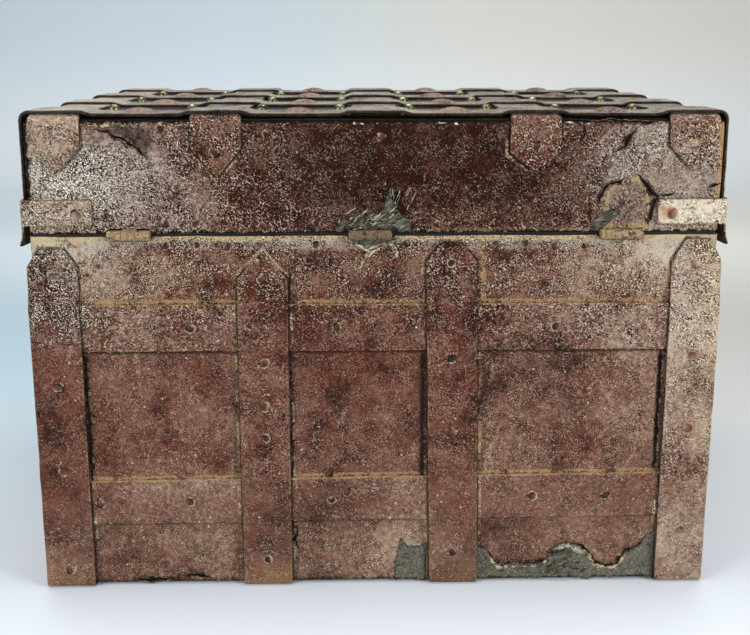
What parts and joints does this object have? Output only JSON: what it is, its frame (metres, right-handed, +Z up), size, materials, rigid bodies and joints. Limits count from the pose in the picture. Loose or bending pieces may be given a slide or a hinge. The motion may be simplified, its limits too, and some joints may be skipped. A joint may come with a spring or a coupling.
{
  "type": "iron-bound chest",
  "caption": "Leather-covered travelling chest bound with iron straps, with a deep flat hinged lid, drop handles on the ends and a lock.",
  "frame": {"origin": "on the floor under the middle of the closed chest", "axes": "+X along the width, -Y towards the hinge side, +Z up"},
  "size_m": [0.743, 0.4902, 0.5065],
  "materials": {
    "pine_boards": "bare aged pine, open grain",
    "lacquered_leather": "dark oxblood lacquered leather, pebbled and crackled",
    "lacquered_iron": "iron under dark red-brown lacquer, rust at the edges",
    "nail_heads": "lacquered nail heads, worn to rust on top",
    "brass_studs": "tarnished yellow brass",
    "hinge_iron": "rusty dark iron",
    "handle_iron": "blackened forged iron",
    "lock_iron": "dark worn iron"
  },
  "bodies": {
    "chest": {"bottom_board": "pine_boards", "back_board": "pine_boards", "front_board": "pine_boards", "left_board": "pine_boards", "right_board": "pine_boards", "body_leather": "lacquered_leather", "upper_band": "lacquered_iron", "lower_band": "lacquered_iron", "body_strap_1": "lacquered_iron", "body_strap_2": "lacquered_iron", "body_strap_3": "lacquered_iron", "body_strap_4": "lacquered_iron", "left_end_straps": "lacquered_iron", "right_end_straps": "lacquered_iron", "body_strap_nails": "nail_heads", "band_nails": "nail_heads", "body_tacks": "nail_heads", "left_hinge_body_leaf": "hinge_iron", "middle_hinge_body_leaf": "hinge_iron", "right_hinge_body_leaf": "hinge_iron", "hinge_pins": "hinge_iron", "body_hinge_rivets": "hinge_iron", "left_handle_plate": "handle_iron", "right_handle_plate": "handle_iron", "handle_rivets": "handle_iron", "lock_case": "lock_iron", "lock_nails": "nail_heads", "escutcheon": "lock_iron"},
    "left_bail_body": {"left_bail": "handle_iron"},
    "right_bail_body": {"right_bail": "handle_iron"},
    "bolt": {"lock_bolt": "lock_iron"},
    "lid": {"lid_top_board": "pine_boards", "lid_back_board": "pine_boards", "lid_front_board": "pine_boards", "lid_left_board": "pine_boards", "lid_right_board": "pine_boards", "lid_leather": "lacquered_leather", "cross_strap_1": "lacquered_iron", "cross_strap_2": "lacquered_iron", "cross_strap_3": "lacquered_iron", "cross_strap_4": "lacquered_iron", "cross_strap_5": "lacquered_iron", "long_strap_1": "lacquered_iron", "long_strap_2": "lacquered_iron", "long_strap_3": "lacquered_iron", "long_strap_4": "lacquered_iron", "rim_band": "lacquered_iron", "lid_bosses": "lacquered_iron", "brass_studs": "brass_studs", "lid_nails": "nail_heads", "lid_tacks": "nail_heads", "left_hinge_lid_leaf": "hinge_iron", "middle_hinge_lid_leaf": "hinge_iron", "right_hinge_lid_leaf": "hinge_iron", "lid_hinge_rivets": "hinge_iron", "lock_link": "lock_iron"}
  },
  "joints": [
    {"name": "lid_hinge", "type": "hinge", "parent": "chest", "child": "lid", "pos_m": [0, -0.2404, 0.3815], "axis": [1, 0, 0], "range_deg": [0, 105]},
    {"name": "left_bail_swing", "type": "hinge", "parent": "chest", "child": "left_bail_body", "pos_m": [-0.3625, 0, 0.226], "axis": [0, 1, 0], "range_deg": [0, 165]},
    {"name": "right_bail_swing", "type": "hinge", "parent": "chest", "child": "right_bail_body", "pos_m": [0.3625, 0, 0.226], "axis": [0, -1, 0], "range_deg": [0, 165]},
    {"name": "bolt_slide", "type": "slide", "parent": "chest", "child": "bolt", "axis": [1, 0, 0], "range_m": [0, 0.012]}
  ]
}
